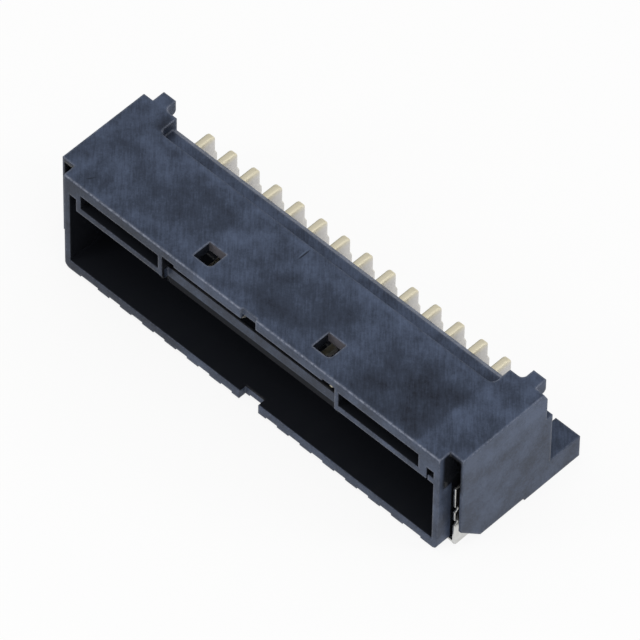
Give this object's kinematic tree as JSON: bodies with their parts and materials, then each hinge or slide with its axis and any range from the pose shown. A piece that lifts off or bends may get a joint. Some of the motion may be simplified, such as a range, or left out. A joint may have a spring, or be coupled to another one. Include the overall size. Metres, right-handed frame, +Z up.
{
  "type": "wire-to-board socket",
  "caption": "Right-angle wire-to-board socket: a long moulded shroud with a keyed open mouth, blanked contacts whose tails come down behind it, and solder nails at its ends.",
  "frame": {"origin": "middle of the footprint on the board", "axes": "+X along the row of contacts, +Y from the mouth to the tails, +Z up from the board"},
  "size_m": [0.0352, 0.012, 0.0093],
  "materials": {
    "housing_plastic": "matt moulded, dark blue-grey, slightly mottled",
    "contact_brass": "tin-plated sides and bare cut edges",
    "nail_tin": "bright tin plate"
  },
  "bodies": {
    "root": {"housing": "housing_plastic", "terminal_01": "contact_brass", "terminal_02": "contact_brass", "terminal_03": "contact_brass", "terminal_04": "contact_brass", "terminal_05": "contact_brass", "terminal_06": "contact_brass", "terminal_07": "contact_brass", "terminal_08": "contact_brass", "terminal_09": "contact_brass", "terminal_10": "contact_brass", "terminal_11": "contact_brass", "terminal_12": "contact_brass", "terminal_13": "contact_brass", "terminal_14": "contact_brass", "solder_nail_left": "nail_tin", "solder_nail_right": "nail_tin"}
  },
  "joints": []
}
